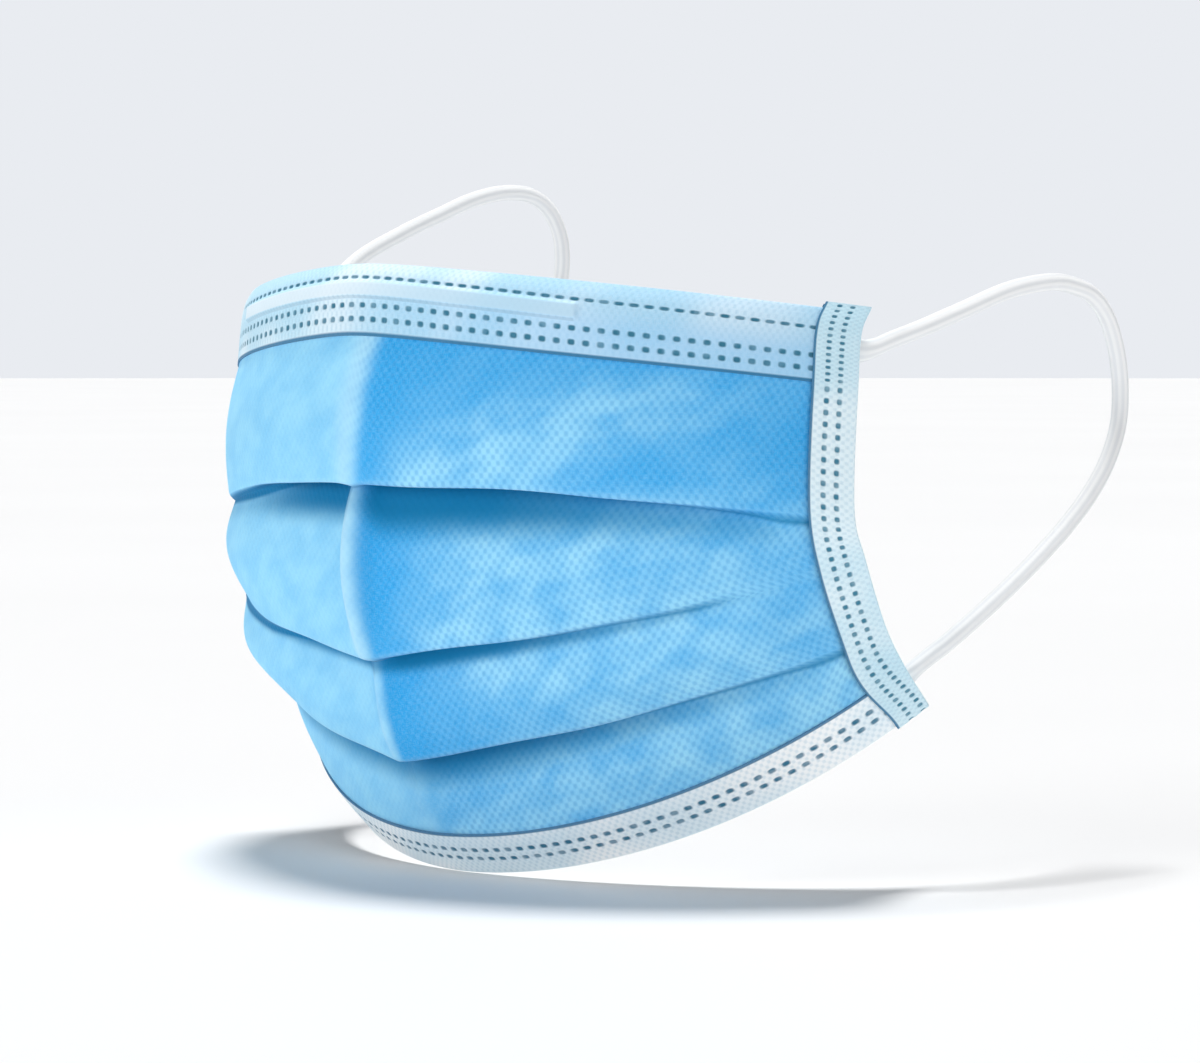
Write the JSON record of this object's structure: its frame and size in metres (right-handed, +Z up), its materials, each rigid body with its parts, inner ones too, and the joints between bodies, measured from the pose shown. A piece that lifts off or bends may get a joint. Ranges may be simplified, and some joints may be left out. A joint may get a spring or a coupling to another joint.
{
  "type": "pleated disposable non-woven face mask",
  "caption": "Pleated non-woven face mask that covers nose, mouth and chin, with folded edge bands, a sealed nose wire and elastic loops that go round the ears.",
  "frame": {"origin": "middle of the top edge on the inner face, where the mask sits on the bridge of the nose", "axes": "+Z up, -Y out of the front of the mask, +X towards the wearer's left ear"},
  "size_m": [0.1529, 0.1244, 0.1215],
  "materials": {
    "panel_cloth": "light blue spunbond non-woven with a fine embossed dot pattern",
    "band_cloth": "pale blue spunbond non-woven tape with heat-welded dots",
    "nose_wire": "plain flat wire",
    "elastic": "white knitted elastic cord"
  },
  "bodies": {
    "root": {"mask_panel": "panel_cloth", "top_band": "band_cloth", "bottom_band": "band_cloth", "side_tape_left": "band_cloth", "side_tape_right": "band_cloth", "nose_wire": "nose_wire", "ear_loop_left": "elastic", "ear_loop_right": "elastic"}
  },
  "joints": []
}
